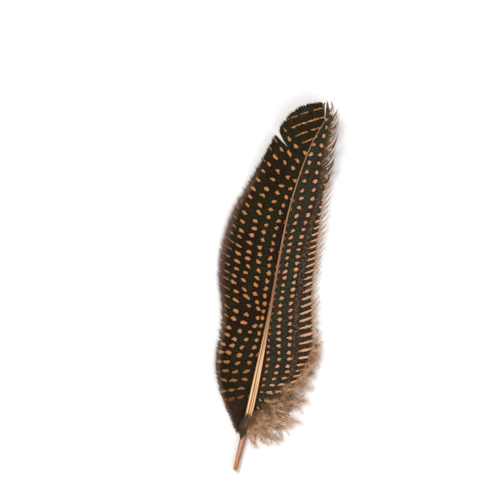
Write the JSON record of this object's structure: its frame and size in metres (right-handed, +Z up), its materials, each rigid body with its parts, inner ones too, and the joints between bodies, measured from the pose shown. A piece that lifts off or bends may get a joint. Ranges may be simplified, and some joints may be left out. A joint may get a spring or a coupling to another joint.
{
  "type": "spotted guineafowl wing feather",
  "caption": "Single spotted wing feather lying on its back: grooved shaft with a bare quill, two vanes of barbs, a fringed outer edge and down at the foot.",
  "frame": {"origin": "middle of the feather's outline, on the surface that it lies on", "axes": "+Y from the quill towards the tip, +Z up out of the grooved inner side, +X towards the narrow fringed vane"},
  "size_m": [0.0551, 0.1666, 0.0089],
  "materials": {
    "vane": "matte blackish brown barbs with rows of peach-orange spots and bars",
    "shaft": "satin straw-coloured keratin, orange on the bare quill",
    "down": "soft pale brown down"
  },
  "bodies": {
    "root": {"feather": "vane"}
  },
  "joints": []
}
